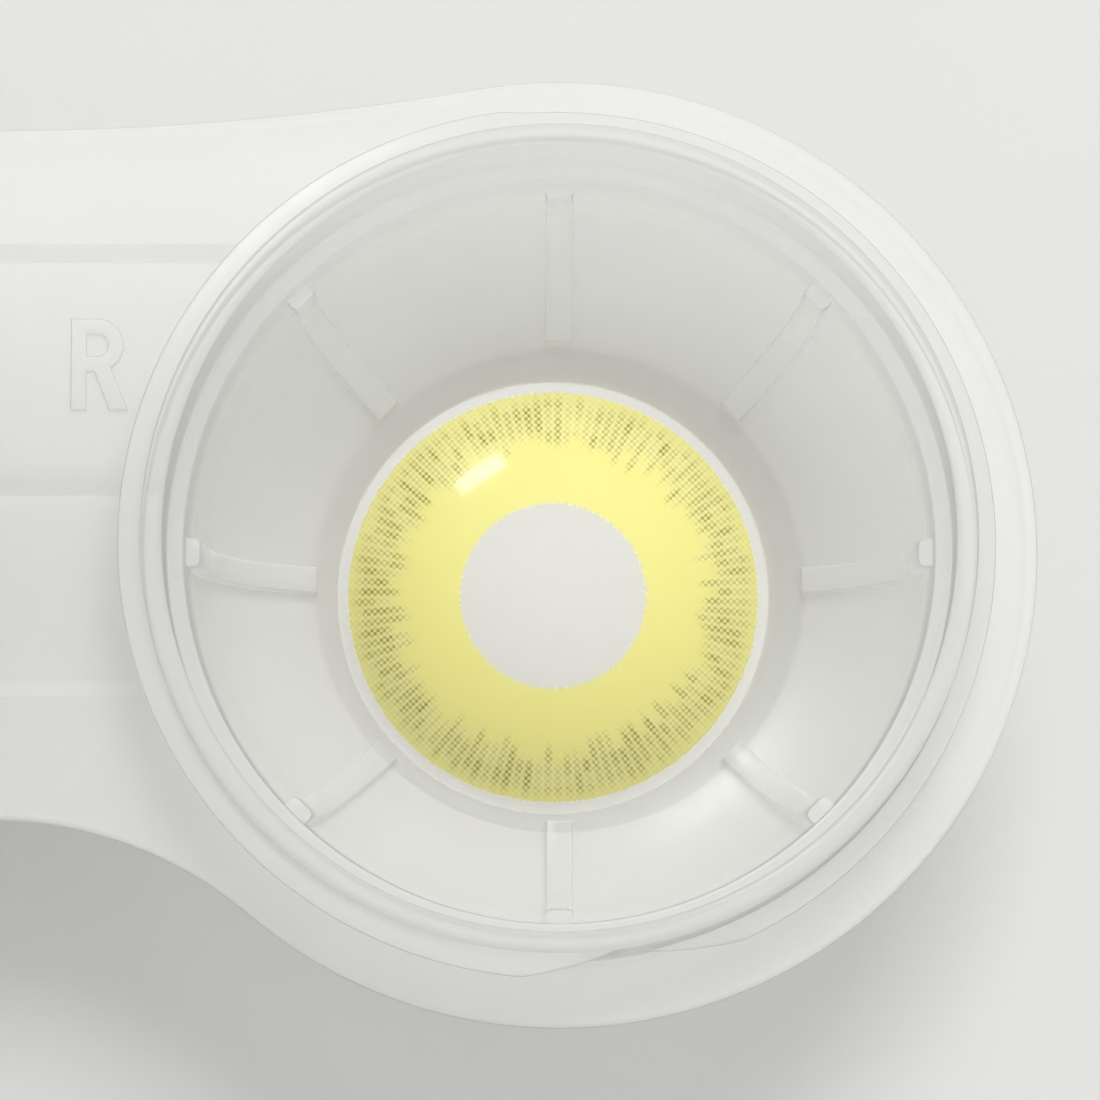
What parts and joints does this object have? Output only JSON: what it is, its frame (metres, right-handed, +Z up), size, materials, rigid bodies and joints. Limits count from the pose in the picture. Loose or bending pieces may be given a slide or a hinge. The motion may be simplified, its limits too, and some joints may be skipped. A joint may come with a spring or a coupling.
{
  "type": "contact lens case",
  "caption": "Twin-well contact lens case in translucent plastic, one well open with a coloured lens in it, one closed by its screw cap, with the other cap lying loose.",
  "frame": {"origin": "on the table plane under the middle of the bridge, midway between the two well axes", "axes": "+X from the left well to the right well, +Y towards the case's back edge, the side where the bridge is wider, +Z up out of the wells"},
  "size_m": [0.068, 0.0686, 0.014],
  "materials": {
    "case_plastic": "satin",
    "cap_plastic": "satin",
    "lens_gel": "gloss"
  },
  "bodies": {
    "base": {"base": "case_plastic"},
    "left_cap": {"left_cap": "cap_plastic"},
    "right_cap": {"right_cap": "cap_plastic"},
    "left_lens": {"left_lens": "lens_gel"},
    "right_lens": {"right_lens": "lens_gel"}
  },
  "joints": [
    {"name": "left_cap_turn", "type": "hinge", "parent": "base", "child": "left_cap", "pos_m": [-0.01825, 0, 0.0125], "axis": [0, 0, 1], "range_deg": [0, 90]},
    {"name": "right_cap_lift", "type": "slide", "parent": "base", "child": "right_cap", "axis": [0, 0, 1], "range_m": [0, 0.03]},
    {"name": "right_lens_lift", "type": "slide", "parent": "base", "child": "right_lens", "axis": [0, 0, 1], "range_m": [0, 0.02]},
    {"name": "left_lens_lift", "type": "slide", "parent": "base", "child": "left_lens", "axis": [0, 0, 1], "range_m": [0, 0.004]}
  ]
}
